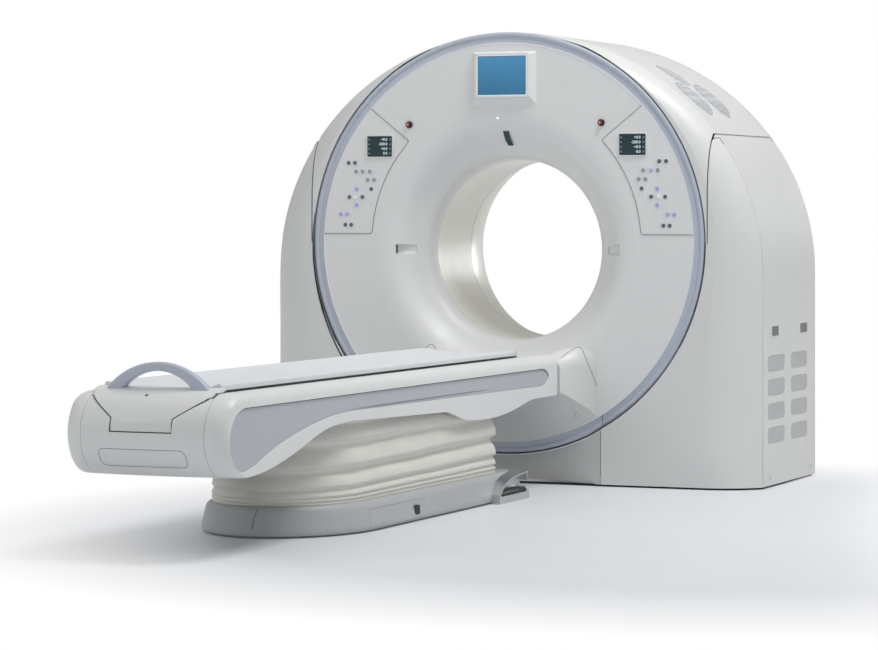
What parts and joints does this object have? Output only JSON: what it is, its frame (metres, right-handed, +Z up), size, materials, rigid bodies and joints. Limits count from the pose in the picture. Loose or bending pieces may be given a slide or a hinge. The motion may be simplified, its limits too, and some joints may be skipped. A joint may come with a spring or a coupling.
{
  "type": "ct scanner",
  "caption": "Computed tomography scanner: arched gantry with a wide round bore and a spinning rotor inside, and a lifting couch on bellows whose tabletop slides into the bore.",
  "frame": {"origin": "on the floor straight under the isocentre, the middle of the gantry's four anchor bolts", "axes": "+Z up, +Y through the bore away from the couch, +X to the right seen from the couch"},
  "size_m": [2.26, 4.2, 1.938],
  "materials": {
    "white_cover": "satin moulded cover",
    "cream_cover": "smooth pale lining",
    "ring_blue": "satin blue-grey",
    "panel_lilac": "satin lilac-grey",
    "cradle_grey": "satin carbon sandwich, painted",
    "bellows_cream": "soft coated fabric",
    "plinth_grey": "satin grey",
    "vent_grey": "matt grille",
    "display_dark": "dark display glass",
    "screen_blue": "lit screen",
    "key_grey": "sealed keys",
    "stop_red": "red mushroom button",
    "guard_metal": "brushed plate",
    "pedal_black": "rubber tread",
    "frame_paint": "powder coat",
    "bare_steel": "ground steel",
    "cast_alloy": "machined casting",
    "coil_copper": "copper tracks and coils",
    "magnet_steel": "coated",
    "unit_grey": "painted unit"
  },
  "bodies": {
    "gantry": {"floor_pads": "bare_steel", "gantry_base_frame": "frame_paint", "uprights": "frame_paint", "stator_plate": "frame_paint", "bearing_outer_race": "bare_steel", "motor_stator_ring": "coil_copper", "slip_brush_block": "magnet_steel", "front_disc_cover": "white_cover", "bore_liner": "cream_cover", "rear_funnel": "cream_cover", "ring_trim": "ring_blue", "neck_fairing": "white_cover", "toe_cover": "white_cover", "wing_cover_left": "white_cover", "wing_cover_right": "white_cover", "top_cover": "white_cover", "side_cover_left": "white_cover", "side_cover_right": "white_cover", "side_louvres": "vent_grey", "roof_grilles": "vent_grey", "rear_cover": "white_cover", "control_panels": "white_cover", "panel_displays": "display_dark", "panel_keys": "key_grey", "monitor_housing": "white_cover", "monitor_screen": "screen_blue", "face_windows": "display_dark", "estop_collars": "white_cover", "couch_base": "plinth_grey", "base_door": "plinth_grey", "pedal_guard": "guard_metal", "column_lower_stages": "bare_steel", "lift_motor": "cast_alloy", "bellows": "bellows_cream"},
    "rotor": {"rotor_drum": "cast_alloy", "bearing_inner_race": "bare_steel", "slip_ring": "coil_copper", "motor_magnet_ring": "magnet_steel", "xray_tube": "unit_grey", "collimator": "unit_grey", "detector_arc": "unit_grey", "hv_generator": "unit_grey", "power_unit": "unit_grey", "counterweight": "bare_steel"},
    "estop_left": {"estop_button_left": "stop_red"},
    "estop_right": {"estop_button_right": "stop_red"},
    "pedal_up": {"pedal_up": "pedal_black"},
    "pedal_down": {"pedal_down": "pedal_black"},
    "column_middle": {"column_middle_stages": "bare_steel"},
    "couch": {"column_upper_stages": "bare_steel", "couch_frame": "frame_paint", "couch_shell": "white_cover", "side_panel_left": "panel_lilac", "side_panel_right": "panel_lilac", "foot_end_cap": "white_cover", "table_drive": "cast_alloy"},
    "tabletop": {"tabletop": "cradle_grey", "handle": "ring_blue", "tabletop_end_cap": "white_cover", "guide_rails": "bare_steel"}
  },
  "joints": [
    {"name": "rotor_spin", "type": "hinge", "parent": "gantry", "child": "rotor", "pos_m": [0, 0, 1], "axis": [0, 1, 0], "continuous": true},
    {"name": "couch_lift", "type": "slide", "parent": "gantry", "child": "couch", "axis": [0, 0, 1], "range_m": [0, 0.36], "deforming": ["bellows"]},
    {"name": "column_middle_slide", "type": "slide", "parent": "gantry", "child": "column_middle", "axis": [0, 0, 1], "range_m": [0, 0.18]},
    {"name": "tabletop_slide", "type": "slide", "parent": "couch", "child": "tabletop", "axis": [0, 1, 0], "range_m": [0, 1.26]},
    {"name": "estop_left_push", "type": "slide", "parent": "gantry", "child": "estop_left", "axis": [0, 1, 0], "range_m": [0, 0.005], "stiffness_N_per_m": 1200, "springref_m": -0.002},
    {"name": "estop_right_push", "type": "slide", "parent": "gantry", "child": "estop_right", "axis": [0, 1, 0], "range_m": [0, 0.005], "stiffness_N_per_m": 1200, "springref_m": -0.002},
    {"name": "pedal_up_press", "type": "hinge", "parent": "gantry", "child": "pedal_up", "pos_m": [0.336, 0, 0.045], "axis": [0, 1, 0], "range_deg": [0, 8], "stiffness_Nm_per_rad": 6, "springref_deg": -14.32},
    {"name": "pedal_down_press", "type": "hinge", "parent": "gantry", "child": "pedal_down", "pos_m": [0.336, 0, 0.045], "axis": [0, 1, 0], "range_deg": [0, 8], "stiffness_Nm_per_rad": 6, "springref_deg": -14.32}
  ],
  "couplings": [
    {"joint": "column_middle_slide", "follows": "couch_lift", "ratio": 0.5},
    {"joint": "tabletop_slide", "follows": "couch_lift", "ratio": 3.5}
  ]
}
